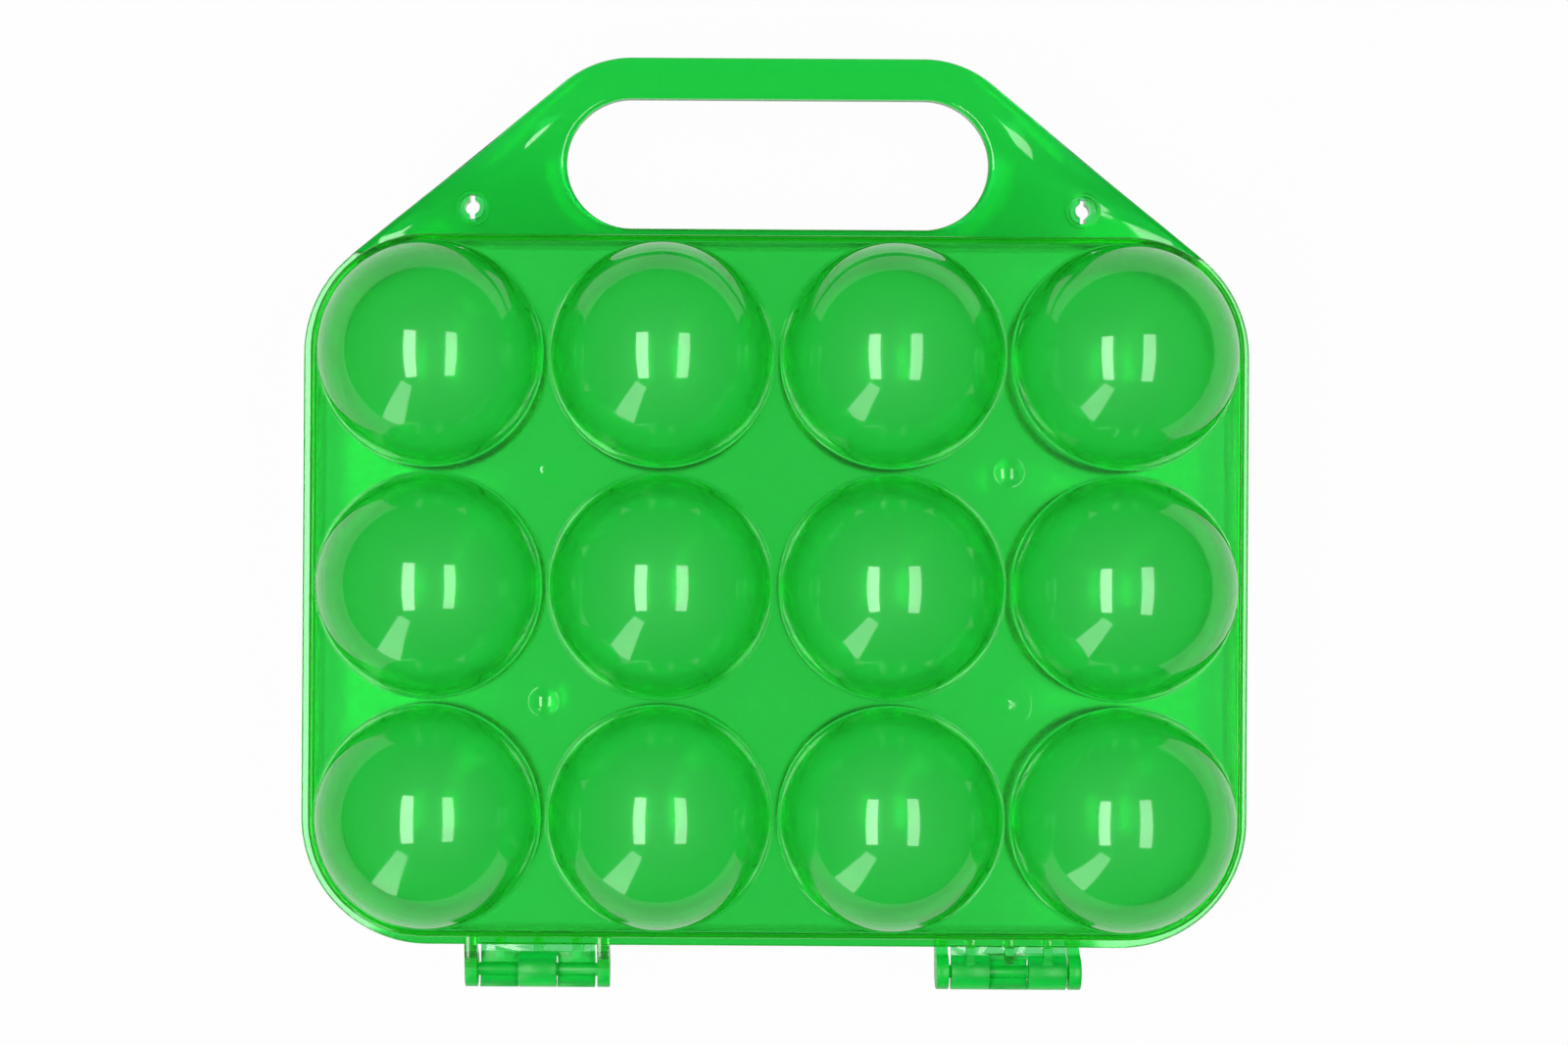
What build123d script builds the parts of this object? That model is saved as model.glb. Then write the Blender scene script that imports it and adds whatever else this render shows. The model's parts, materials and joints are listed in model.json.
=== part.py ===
"""Twelve-egg keeper: a base and a flip lid with cups, a carry handle and two hinges.

Base and lid are the same moulding.  Every piece of the lid is built here and turned
over about the keeper's own Y direction to make the base's piece, so the hinge hooks
of one half meet the hinge ears of the other, and the snap prongs meet the sockets.
"""
from build123d import *
import os
from math import acos, asin, cos, degrees, radians, sin, sqrt, tan

# ------------------------------------------------------------------ sizes, mm
# Egg grid
columns = 4
rows = 3
cup_radius = 25.1          # outside of a cup, a half ball standing on the deck
cup_gap = 1.8              # deck left between two cups
cup_wall = 1.4
tip_flat_radius = 2.0      # flat on the tip of each cup, which the keeper stands on

# Tray of one half: deck, rim wall and flange
deck_height = 10.0         # outer face of the deck above the parting plane
deck_thickness = 1.4
rim_margin = 1.8           # rim wall's outer face beyond the outermost cups
rim_wall = 1.3
rim_corner_margin = 1.1    # rim wall's corner radius beyond a cup's radius
flange_width = 2.6
flange_thickness = 1.4
pip_radius = 3.3           # small domed pips on the deck, between four cups
pip_height = 1.1

# Carry handle
handle_depth = 39.0        # from the flange's edge to the top of the grip
handle_thickness = 2.2     # of one half's plate, which lies on the parting plane
handle_round = 1.2         # rounding of the plate's edges
handle_slope = 39.6        # degrees that the shoulders fall
handle_corner_radius = 24.5
grip_width = 9.5           # bar above the opening, and beside its ends

# Snap prongs and sockets at the foot of the handle
snap_setback = 27.7        # from a shoulder's foot inwards to the snap's centre
snap_offset = 4.5          # from the flange's edge to the snap's centre
prong_radius = 2.8
prong_bore_radius = 1.7
prong_slit = 1.3
prong_lip = 0.2            # how far the lip at the tip stands out
prong_lip_length = 0.8
prong_tip_recess = 0.4     # tip below the face of the other half's handle
socket_clearance = 0.4
socket_wall = 0.8

# Hinges
hinge_setback = 51.4       # from the rim wall's side inwards to a hinge's middle
hinge_offset = 5.7         # from the flange's edge to the hinge axis
rod_radius = 1.5
rod_clearance = 0.05
hook_wall = 2.5
hook_length = 8.5
hook_gap = 0.25
hook_wrap = 205.0          # degrees that a hook reaches round the rod
ear_radius = 4.0
ear_thickness = 2.8
ear_clearance = 0.6        # between an ear and the hooks beside it
ear_root_height = 6.0      # ear against the rim wall, above the parting plane
brace_thickness = 1.9
brace_root_height = 5.0
brace_reach = 60.0         # degrees up the hook where a brace ends

# ------------------------------------------------------- places that follow
cup_pitch = 2 * cup_radius + cup_gap
cup_tip = sqrt(cup_radius**2 - tip_flat_radius**2)
half_height = deck_height + cup_tip
deck_underside = deck_height - deck_thickness
rim_x = cup_pitch * (columns - 1) / 2 + cup_radius + rim_margin
rim_y = cup_pitch * (rows - 1) / 2 + cup_radius + rim_margin
rim_corner_radius = cup_radius + rim_corner_margin
flange_y = rim_y + flange_width
handle_top = flange_y + handle_depth
opening_height = handle_depth - grip_width
opening_y = flange_y + opening_height / 2
snap_y = flange_y + snap_offset
hinge_x = rim_x - hinge_setback
socket_bore_radius = prong_radius + socket_clearance
socket_radius = socket_bore_radius + socket_wall
hinge_y = -(flange_y + hinge_offset)
hook_bore_radius = rod_radius + rod_clearance
hook_radius = hook_bore_radius + hook_wall
hook_step = hook_length + hook_gap
hook_root_angle = degrees(asin(flange_thickness / hook_radius))
hinge_plate_width = 3 * hook_length + 2 * hook_gap
ear_gap = hinge_plate_width + 2 * ear_clearance

# The origin lies under the middle of the whole keeper, so the egg grid is set back
# by half of what the handle reaches further than the hinge.
hinge_reach = max(ear_radius, hook_radius)
grid_shift = -(handle_top + hinge_y - hinge_reach) / 2
parting = Plane(origin=(0, grid_shift, half_height))
turning_axis = Axis((0, grid_shift, half_height), (0, 1, 0))
pip_places = [(cup_pitch, cup_pitch / 2), (-cup_pitch, -cup_pitch / 2)]

# Each shoulder of the handle leaves the flange's corner where the corner has its slope
foot_x = rim_x - rim_corner_radius + (rim_corner_radius + flange_width) * sin(radians(handle_slope))
foot_y = rim_y - rim_corner_radius + (rim_corner_radius + flange_width) * cos(radians(handle_slope))

# The opening's round ends and the snaps keep their distance from the shoulders
opening_rise = (opening_y - foot_y) * cos(radians(handle_slope))
opening_end_x = foot_x - (opening_height / 2 + grip_width + opening_rise) / sin(radians(handle_slope))
opening_length = 2 * opening_end_x + opening_height
snap_x = foot_x - snap_setback


def side_plane(x):
    """Plane across the hinge axis: its x is the keeper's Y, its y is up."""
    return Plane(
        origin=(x, grid_shift + hinge_y, half_height), x_dir=(0, 1, 0), z_dir=(1, 0, 0)
    )


def cup_places():
    """Name and centre of each cup, from the left, starting at the hinge."""
    for row in range(rows):
        for column in range(columns):
            x = (column - (columns - 1) / 2) * cup_pitch
            y = (row - (rows - 1) / 2) * cup_pitch
            yield f"row{row + 1}_{column + 1}", x, y


def rim_profile(growth, mode=Mode.ADD):
    """Outline of the rim wall's outer face, grown by a distance."""
    RectangleRounded(
        2 * (rim_x + growth), 2 * (rim_y + growth), rim_corner_radius + growth, mode=mode
    )


def gable():
    """Outline of the handle above the shoulders."""
    top_x = foot_x - (handle_top - foot_y) / tan(radians(handle_slope))
    with BuildSketch() as outline:
        with BuildLine():
            Polyline(
                (-foot_x, foot_y), (foot_x, foot_y), (top_x, handle_top), (-top_x, handle_top),
                close=True,
            )
        make_face()
        fillet(outline.vertices().group_by(Axis.Y)[-1], handle_corner_radius)
    return outline.sketch


def save(part, name):
    """Label a finished piece and write it."""
    part.label = name
    export_step(part, f"parts/{name}.step")


def save_both(part, name):
    """Write a piece of the lid, and the same piece turned over for the base."""
    save(part, f"lid_{name}")
    with BuildPart() as base_piece:
        add(part.rotate(turning_axis, 180))
    save(base_piece.part, f"base_{name}")


os.makedirs("parts", exist_ok=True)

# -------------------------------------------------------------- tray of a half
with BuildPart() as rim:
    with BuildSketch(parting):
        rim_profile(0)
        rim_profile(-rim_wall, mode=Mode.SUBTRACT)
    extrude(amount=deck_underside)
    with BuildSketch(parting):
        rim_profile(flange_width)
        rim_profile(0, mode=Mode.SUBTRACT)
        # the handle takes over above the shoulders
        with Locations((0, foot_y)):
            Rectangle(
                2 * (rim_x + flange_width), flange_y, align=(Align.CENTER, Align.MIN),
                mode=Mode.SUBTRACT,
            )
    extrude(amount=flange_thickness)
save_both(rim.part, "rim")

with BuildPart() as deck:
    with BuildSketch(parting.offset(deck_underside)):
        rim_profile(0)
        with GridLocations(cup_pitch, cup_pitch, columns, rows):
            Circle(cup_radius, mode=Mode.SUBTRACT)
    extrude(amount=deck_thickness)
    pip_ball_radius = (pip_radius**2 + pip_height**2) / (2 * pip_height)
    pip_reach = degrees(asin(pip_radius / pip_ball_radius))
    for pip_x, pip_y in pip_places:
        pip_centre = (pip_x, grid_shift + pip_y, half_height + deck_height)
        with BuildSketch(Plane(origin=pip_centre, x_dir=(1, 0, 0), z_dir=(0, -1, 0))):
            with BuildLine():
                arc = CenterArc(
                    (0, pip_height - pip_ball_radius), pip_ball_radius, 90 - pip_reach, pip_reach
                )
                Polyline(arc @ 1, (0, 0), arc @ 0)
            make_face()
        revolve(axis=Axis(pip_centre, (0, 0, 1)))
save_both(deck.part, "deck")

for place, cup_x, cup_y in cup_places():
    cup_centre = (cup_x, grid_shift + cup_y, half_height + deck_height)
    inner_radius = cup_radius - cup_wall
    with BuildPart() as cup:
        with BuildSketch(Plane(origin=cup_centre, x_dir=(1, 0, 0), z_dir=(0, -1, 0))):
            with BuildLine():
                outer_arc = CenterArc((0, 0), cup_radius, 0, degrees(acos(tip_flat_radius / cup_radius)))
                inner_arc = CenterArc((0, 0), inner_radius, 0, 90)
                Polyline(outer_arc @ 1, (0, cup_tip), inner_arc @ 1)
                Polyline(
                    inner_arc @ 0, (inner_radius, -deck_thickness), (cup_radius, -deck_thickness),
                    outer_arc @ 0,
                )
            make_face()
        revolve(axis=Axis(cup_centre, (0, 0, 1)))
    save_both(cup.part, f"cup_{place}")

# ------------------------------------------------------------------ handle
with BuildPart() as handle:
    with BuildSketch(parting):
        rim_profile(flange_width)
        add(gable())
        with Locations((0, opening_y)):
            SlotOverall(opening_length, opening_height, mode=Mode.SUBTRACT)
    extrude(amount=handle_thickness)
    fillet(handle.faces().sort_by(Axis.Z)[-1].edges(), handle_round)
    with BuildSketch(parting):
        rim_profile(0)
        # below the shoulders the rim has its own flange
        with Locations((0, foot_y)):
            Rectangle(2 * (rim_x + flange_width), 2 * flange_y, align=(Align.CENTER, Align.MAX))
    extrude(amount=handle_thickness, mode=Mode.SUBTRACT)
    with BuildSketch(parting):
        with Locations((-snap_x, snap_y)):
            Circle(prong_radius)
        with Locations((snap_x, snap_y)):
            Circle(socket_radius)
    extrude(amount=handle_thickness, mode=Mode.SUBTRACT)
save_both(handle.part, "handle")

# The prongs are a split tube that stands down through the parting plane
prong_length = 2 * handle_thickness - prong_tip_recess
with BuildPart() as snap_prongs:
    with BuildSketch(parting.offset(handle_thickness)):
        with Locations((-snap_x, snap_y)):
            Circle(prong_radius)
    extrude(amount=-prong_length)
    with BuildSketch(parting.offset(handle_thickness - prong_length)):
        with Locations((-snap_x, snap_y)):
            Circle(prong_radius + prong_lip)
    extrude(amount=prong_lip_length)
    with BuildSketch(parting.offset(handle_thickness)):
        with Locations((-snap_x, snap_y)):
            Circle(prong_bore_radius)
            Rectangle(prong_slit, 2 * socket_radius)
    extrude(amount=-prong_length, mode=Mode.SUBTRACT)
save_both(snap_prongs.part, "snap_prongs")

with BuildPart() as snap_socket:
    with BuildSketch(parting):
        with Locations((snap_x, snap_y)):
            Circle(socket_radius)
            Circle(socket_bore_radius, mode=Mode.SUBTRACT)
    extrude(amount=handle_thickness)
save_both(snap_socket.part, "snap_socket")

# ------------------------------------------------------------------ hinges
# The lid carries ears and rod on its left, and plate, hooks and braces on its right
ears_x = -hinge_x
hooks_x = hinge_x
flange_edge = hinge_offset               # measured from the hinge axis
rim_face = hinge_offset + flange_width

with BuildPart() as hinge_plate:
    with BuildSketch(side_plane(hooks_x - hinge_plate_width / 2)):
        Rectangle(flange_edge, flange_thickness, align=(Align.MIN, Align.MIN))
        Circle(hook_radius, mode=Mode.SUBTRACT)
    extrude(amount=hinge_plate_width)
save_both(hinge_plate.part, "hinge_plate")

# The outer hooks reach over the rod and the middle one reaches under it
with BuildPart() as hinge_hooks:
    for step, root_angle, sweep in (
        (-1, 0, hook_wrap),
        (0, hook_root_angle, -hook_wrap - hook_root_angle),
        (1, 0, hook_wrap),
    ):
        with BuildSketch(side_plane(hooks_x + step * hook_step - hook_length / 2)):
            with BuildLine():
                outer_arc = CenterArc((0, 0), hook_radius, root_angle, sweep)
                inner_arc = CenterArc((0, 0), hook_bore_radius, root_angle, sweep)
                Line(outer_arc @ 0, inner_arc @ 0)
                Line(outer_arc @ 1, inner_arc @ 1)
            make_face()
        extrude(amount=hook_length)
save_both(hinge_hooks.part, "hinge_hooks")

brace_tip_y = hook_radius * cos(radians(brace_reach))
brace_tip_z = hook_radius * sin(radians(brace_reach))
with BuildPart() as hinge_braces:
    for step in (-1, 0, 1):
        with BuildSketch(side_plane(hooks_x + step * hook_step - brace_thickness / 2)):
            with BuildLine():
                Polyline(
                    (brace_tip_y, flange_thickness), (rim_face, flange_thickness),
                    (rim_face, brace_root_height), (brace_tip_y, brace_tip_z),
                    close=True,
                )
            make_face()
            Circle(hook_radius, mode=Mode.SUBTRACT)
        extrude(amount=brace_thickness)
save_both(hinge_braces.part, "hinge_braces")

with BuildPart() as hinge_ears:
    for start in (-ear_gap / 2 - ear_thickness, ear_gap / 2):
        with BuildSketch(side_plane(ears_x + start)):
            with BuildLine():
                Polyline(
                    (0, 0), (flange_edge, flange_thickness), (rim_face, flange_thickness),
                    (rim_face, ear_root_height), (0, ear_radius),
                    close=True,
                )
            make_face()
            Circle(ear_radius)
        extrude(amount=ear_thickness)
save_both(hinge_ears.part, "hinge_ears")

with BuildPart() as hinge_rod:
    with BuildSketch(side_plane(ears_x - ear_gap / 2)):
        Circle(rod_radius)
    extrude(amount=ear_gap)
save_both(hinge_rod.part, "hinge_rod")

print(f"hinge axis at Y {grid_shift + hinge_y:.3f}, Z {half_height:.3f}")
print(f"egg grid centre at Y {grid_shift:.3f}, opening centre at Y {grid_shift + opening_y:.3f}")
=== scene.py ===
"""Looks of the egg keeper: two tinted clear plastic mouldings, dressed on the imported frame.

Lengths of the pieces are in mm, in the half's own frame: x to the right, y towards the
handle, w outwards from the parting plane, with the origin in the middle of the egg grid.
place() turns them into metres in the row frame, for the lid or for the base. The table,
the lamps and the camera are in metres.
"""

import bpy
import json
from math import asin, atan2, cos, degrees, exp, hypot, log1p, pi, radians, sin, sqrt
from mathutils import Matrix, Vector, geometry

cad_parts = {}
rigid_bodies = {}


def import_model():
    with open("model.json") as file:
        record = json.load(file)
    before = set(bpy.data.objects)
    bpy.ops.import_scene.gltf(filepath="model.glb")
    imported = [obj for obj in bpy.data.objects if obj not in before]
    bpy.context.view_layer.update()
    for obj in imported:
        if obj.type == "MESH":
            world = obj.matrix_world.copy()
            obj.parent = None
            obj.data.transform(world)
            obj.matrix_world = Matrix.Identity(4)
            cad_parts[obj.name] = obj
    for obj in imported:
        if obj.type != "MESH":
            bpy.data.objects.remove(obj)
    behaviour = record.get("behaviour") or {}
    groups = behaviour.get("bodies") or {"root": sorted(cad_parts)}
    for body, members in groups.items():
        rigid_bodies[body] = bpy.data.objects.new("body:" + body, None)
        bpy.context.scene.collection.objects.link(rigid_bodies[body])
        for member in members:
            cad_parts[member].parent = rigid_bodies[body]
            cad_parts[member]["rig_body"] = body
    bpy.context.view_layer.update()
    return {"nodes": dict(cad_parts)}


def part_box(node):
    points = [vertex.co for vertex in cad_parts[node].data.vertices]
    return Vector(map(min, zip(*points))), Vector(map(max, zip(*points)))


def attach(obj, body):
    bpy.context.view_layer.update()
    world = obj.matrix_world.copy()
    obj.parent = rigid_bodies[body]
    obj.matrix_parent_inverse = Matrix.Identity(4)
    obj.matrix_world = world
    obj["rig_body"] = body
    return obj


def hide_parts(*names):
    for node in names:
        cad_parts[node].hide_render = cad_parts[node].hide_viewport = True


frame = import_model()

# ------------------------------------------------------------------ sizes, mm
MM = 0.001
COLUMNS, ROWS, PITCH = 4, 3, 52.0
CUP_RADIUS, CUP_WALL, CUP_RISE, CUP_TIP_WALL = 25.1, 1.4, 25.02, 1.0
CUP_FILLET, CUP_LIP = 0.5, 0.5
CUP_STEPS, CUP_RINGS, FILLET_STEPS, LIP_STEPS = 96, 26, 4, 4
DECK, DECK_THICKNESS = 10.0, 1.4
BOW_START, BOW_LEAN, BOW_FALLOFF = 55.0, radians(3.2), 4
MERGE = 1e-5  # points of a flat sheet nearer than this are one

RIM_X, RIM_Y, RIM_WALL, RIM_CORNER = 104.9, 78.9, 1.3, 26.2
RIM_ROUND, RIM_INNER_ROUND, RIM_FOOT_ROUND = 0.9, 0.4, 0.2
FLANGE_WIDTH, FLANGE_THICKNESS, FLANGE_GAP = 2.6, 1.4, 0.05
FLANGE_FILLET, FLANGE_TOP_ROUND, FLANGE_LOW_ROUND = 0.35, 0.3, 0.15
CORNER_STEPS, SIDE_STEPS = 28, 30
HANDLE_START, HANDLE_FADE = 73.5, 2.5  # y where the handle takes over from the flange
MATT_DEPTH = 0.5  # from this far below the deck's top, the rim's inner side is matt

PIP_RADIUS, PIP_HEIGHT, PIP_MARGIN, PIP_RINGS = 3.3, 1.05, 0.25, 9
GATE_RING, GATE_RADIUS, GATE_HEIGHT = 5.5, 0.9, 0.08
GATE_PROFILE = (  # radius, height above the deck, degrees that the surface faces up
    (GATE_RING + 0.35, 0, 90),
    (GATE_RING + 0.12, -0.02, 92),
    (GATE_RING - 0.12, -0.02, 88),
    (GATE_RING - 0.35, 0, 90),
    (GATE_RADIUS + 0.3, 0, 88),
    (GATE_RADIUS, GATE_HEIGHT * 0.6, 80),
    (GATE_RADIUS * 0.6, GATE_HEIGHT, 88),
)
GATE_TIP = GATE_HEIGHT * 1.05
MARK_STEPS = 48

HANDLE_DEPTH, HANDLE_SLOPE, HANDLE_CORNER, GRIP_WIDTH = 39.0, radians(39.6), 24.5, 9.5
GRIP_LEVEL, SHOULDER_LEVEL, GRIP_WALL, SHOULDER_WALL = 2.8, 2.15, 1.7, 2.1
GRIP_START, GRIP_WAY = 97, 12  # y where the face starts to rise to the grip, and the way
DIP, DIP_START, DIP_WAY = 0.18, 85, 11  # the shoulders' shallow dip
WING_SLOPE, WING_X, WING_END, WING_WAY = 0.018, 70, 82.7, 3  # the rise towards the feet
CROWN_RADIUS, EDGE_ROUND, OPENING_CROWN = 27.0, 0.9, 5.5
CROWN, CROWN_MORE, CROWN_START, CROWN_WAY = 4.9, 3.8, 80, 20
SKIRT, TAPER, HOLLOW_SOFTNESS, BURIED = 0.3, 9.0, 0.15, 0.05
FLUSH = 0.03  # what joins the flange stays this far inside its faces
ON_EDGE = 1e-6
UNDER_RAYS, RIM_RAYS, RIM_CORNER_RAYS, FOOT_RAYS = 12, 22, 14, 4
SHOULDER_RAYS, BEND_RAYS, GRIP_RAYS = 40, 20, 12
FOOT_TURN, SHOULDER_TURN = radians(-12), radians(-8)
EDGE_STEPS, EDGE_SHARE, RAY_STEPS = (0, 0.02, 0.08, 0.2, 0.45, 0.9, 1.6, 2.6, 4.2, 6.5), 0.4, 10

SNAP_SETBACK, SNAP_OFFSET = 27.7, 4.5
PRONG_R, SOCKET_R, SNAP_OVERLAP, SNAP_STEPS, CUT_MARGIN = 2.8, 4.0, 0.04, 64, 1.0
HINGE_SETBACK, HINGE_OFFSET = 51.4, 5.7
HOOK_R, BORE_R, ROD_R, EAR_R = 4.05, 1.55, 1.5, 4.0
HOOK_LENGTH, HOOK_GAP, HOOK_WRAP, HOOK_STEPS = 8.5, 0.25, 205, 30
HOOKS_SPAN = 3 * HOOK_LENGTH + 2 * HOOK_GAP
HOOK_START = radians(1.2)  # keeps the start of the outer hooks off the plate's plane
PLATE_END = 3.0  # from the hinge axis
BRACE_THICKNESS, BRACE_ROOT, BRACE_REACH = 1.9, 5.0, radians(60)
BRACE_END, BRACE_SUNK, BRACE_TIP_SUNK = 2.6, 0.1, 0.4
EAR_THICKNESS, EAR_CLEARANCE, EAR_ROOT = 2.8, 0.6, 6.0
EAR_TURN, EAR_STEPS, EAR_FOOT, EAR_SUNK = 7.5, 34, 0.1, 0.15
ROD_OVERLAP, ROD_STEPS = 0.5, 48
SUNK = 0.3  # how far the hinge's members reach into the rim wall
HOOK_ROUND, EAR_ROUND, ROUND_SEGMENTS = 0.12, 0.15, 2
SHARP_ANGLE, HANDLE_SHARP_ANGLE = 32, 38  # degrees between faces that meet in an edge

FLANGE_Y = RIM_Y + FLANGE_WIDTH
HANDLE_TOP = FLANGE_Y + HANDLE_DEPTH
HINGE_Y = -(FLANGE_Y + HINGE_OFFSET)
HINGE_X = RIM_X - HINGE_SETBACK
HINGE_FACE = HINGE_OFFSET + FLANGE_WIDTH + SUNK

rim_low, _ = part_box("lid_rim")
PARTING_Z = rim_low.z
GRID_Y = rim_low.y + FLANGE_Y * MM


def place(point, half):
    """A point of a half in mm, as a point of the row frame in metres."""
    x, y, w = point
    side = 1 if half == "lid" else -1
    return Vector((side * x * MM, GRID_Y + y * MM, PARTING_Z + side * w * MM))


def smooth(t):
    """0 to 1 in an S curve while t goes from 0 to 1."""
    t = min(max(t, 0), 1)
    return t * t * (3 - 2 * t)


def steps_between(start, end, count):
    """Evenly spaced numbers from start, without the end."""
    return [start + (end - start) * i / count for i in range(count)]


class Skin:
    """A closed mesh in the making: points in mm, the way each one faces, and faces."""

    def __init__(self):
        self.points = []
        self.facing = []
        self.faces = []
        self.matt = []
        self.inside = 0.0  # 1 while the points being added lie on a matt inner face

    def ring(self, points, facing=None):
        """Adds points and returns their numbers. Only a skin that is built exactly needs
        their directions."""
        start = len(self.points)
        self.points += points
        self.facing += facing or [None] * len(points)
        self.matt += [self.inside] * len(points)
        return list(range(start, len(self.points)))

    def circle(self, middle, radius, w, tilt, count):
        """Adds a ring round a middle, facing outwards by cos(tilt) and up by sin(tilt)."""
        points, facing = [], []
        for a in steps_between(0, 2 * pi, count):
            points.append((middle[0] + radius * cos(a), middle[1] + radius * sin(a), w))
            facing.append((cos(tilt) * cos(a), cos(tilt) * sin(a), sin(tilt)))
        return self.ring(points, facing)

    def loft(self, rings):
        """Quads between neighbouring rings of the same count."""
        for low, high in zip(rings, rings[1:]):
            count = len(low)
            for i in range(count):
                j = (i + 1) % count
                self.faces.append((low[i], low[j], high[j], high[i]))

    def cap(self, ring, point, facing):
        """A fan from a ring to one point."""
        tip = self.ring([point], [facing])[0]
        for i, a in enumerate(ring):
            self.faces.append((a, ring[(i + 1) % len(ring)], tip))

    def sheet(self, outline, holes, up):
        """Triangles of a flat sheet between an outline and round holes."""
        numbers = list(outline)
        for hole, _ in holes:
            numbers += hole
        flat = [Vector(self.points[n][:2]) for n in numbers]
        edges, start = [], 0
        for loop in [outline] + [hole for hole, _ in holes]:
            count = len(loop)
            edges += [(start + i, start + (i + 1) % count) for i in range(count)]
            start += count
        middles = len(flat)
        flat += [Vector(middle) for _, middle in holes]
        result = geometry.delaunay_2d_cdt(flat, edges, [], 0, MERGE)
        back = {i: ids[0] for i, ids in enumerate(result[3])}
        for face in result[2]:
            face = [back[i] for i in face]
            if max(face) >= middles:
                continue
            a, b, c = (flat[i] for i in face)
            turned = (b - a).cross(c - a) > 0
            face = [numbers[i] for i in face]
            self.faces.append(tuple(face if turned == up else face[::-1]))

    def build(self, name, half, exact=True):
        """The mesh as an object of the lid or the base. An exact one is shaded by the
        directions given, and keeps which of its points are matt."""
        mesh = bpy.data.meshes.new(name)
        mesh.from_pydata([place(p, half) for p in self.points], [], self.faces)
        if exact:
            mesh.attributes.new("matt", "FLOAT", "POINT").data.foreach_set("value", self.matt)
            mesh.shade_smooth()
            side = 1 if half == "lid" else -1
            mesh.normals_split_custom_set_from_vertices(
                [(side * n[0], n[1], side * n[2]) for n in self.facing]
            )
        obj = bpy.data.objects.new(name, mesh)
        bpy.context.scene.collection.objects.link(obj)
        return obj


# ------------------------------------------------------------------ tray
def cup_outside(skin, middle):
    """A cup's outer face: a small fillet on the deck, then the half ball."""
    rise = asin(CUP_FILLET / (CUP_RADIUS + CUP_FILLET))
    fillet_r = sqrt((CUP_RADIUS + CUP_FILLET) ** 2 - CUP_FILLET**2)
    rings = []
    for k in range(FILLET_STEPS + 1):
        n = pi / 2 + (rise - pi / 2) * k / FILLET_STEPS
        radius = fillet_r - CUP_FILLET * cos(n)
        height = DECK + CUP_FILLET - CUP_FILLET * sin(n)
        rings.append(skin.circle(middle, radius, height, n, CUP_STEPS))
    for k in range(1, CUP_RINGS):
        t = rise + (pi / 2 - rise) * k / CUP_RINGS
        tilt = atan2(sin(t) / CUP_RISE, cos(t) / CUP_RADIUS)
        height = DECK + CUP_RISE * sin(t)
        rings.append(skin.circle(middle, CUP_RADIUS * cos(t), height, tilt, CUP_STEPS))
    skin.loft(rings)
    skin.cap(rings[-1], (*middle, DECK + CUP_RISE), (0, 0, 1))
    return rings[0]


def cup_inside(skin, middle):
    """A cup's inner face: its lip under the deck, then the ball, with a thinner wall at
    the tip."""
    skin.inside = 1.0
    inner = CUP_RADIUS - CUP_WALL
    floor_w = DECK - DECK_THICKNESS
    inner_rise = CUP_RISE - CUP_TIP_WALL
    rings = []
    for k in range(LIP_STEPS + 1):
        a = -pi / 2 - pi / 2 * k / LIP_STEPS
        radius = inner + CUP_LIP + CUP_LIP * cos(a)
        height = floor_w + CUP_LIP + CUP_LIP * sin(a)
        rings.append(skin.circle(middle, radius, height, a, CUP_STEPS))
    for k in range(CUP_RINGS):
        t = pi / 2 * k / CUP_RINGS
        tilt = atan2(sin(t) / inner_rise, cos(t) / inner)
        height = DECK + inner_rise * sin(t)
        rings.append(skin.circle(middle, inner * cos(t), height, tilt + pi, CUP_STEPS))
    skin.loft([ring[::-1] for ring in rings])
    skin.cap(rings[-1][::-1], (*middle, DECK + inner_rise), (0, 0, -1))
    skin.inside = 0.0
    return rings[0]


def pip(skin, middle):
    """A small domed pip on the deck."""
    ball = (PIP_RADIUS**2 + PIP_HEIGHT**2) / (2 * PIP_HEIGHT)
    reach = asin(PIP_RADIUS / ball)
    rings = [skin.circle(middle, PIP_RADIUS + PIP_MARGIN, DECK, pi / 2, MARK_STEPS)]
    for k in range(PIP_RINGS):
        a = reach * (1 - k / PIP_RINGS)
        tilt = pi / 2 - a if k else pi / 2 - a / 2  # half way to the deck's at the foot
        height = DECK + PIP_HEIGHT - ball * (1 - cos(a))
        rings.append(skin.circle(middle, ball * sin(a), height, tilt, MARK_STEPS))
    skin.loft(rings)
    skin.cap(rings[-1], (*middle, DECK + PIP_HEIGHT), (0, 0, 1))
    return rings[0]


def gate_mark(skin, middle):
    """The faint ring and stub that the mould's gate leaves on the deck."""
    rings = [
        skin.circle(middle, r, DECK + w, radians(tilt), MARK_STEPS) for r, w, tilt in GATE_PROFILE
    ]
    skin.loft(rings)
    skin.cap(rings[-1], (*middle, DECK + GATE_TIP), (0, 0, 1))
    return rings[0]


def arc(middle, radius, start, end, steps, hollow=False):
    """(outwards, up, tilt) along a rounding; in a hollow one the surface faces its middle."""
    out = []
    for i in range(steps + 1):
        a = start + (end - start) * i / steps
        tilt = a + pi if hollow else a
        out.append((middle[0] + radius * cos(a), middle[1] + radius * sin(a), tilt))
    return out


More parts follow.
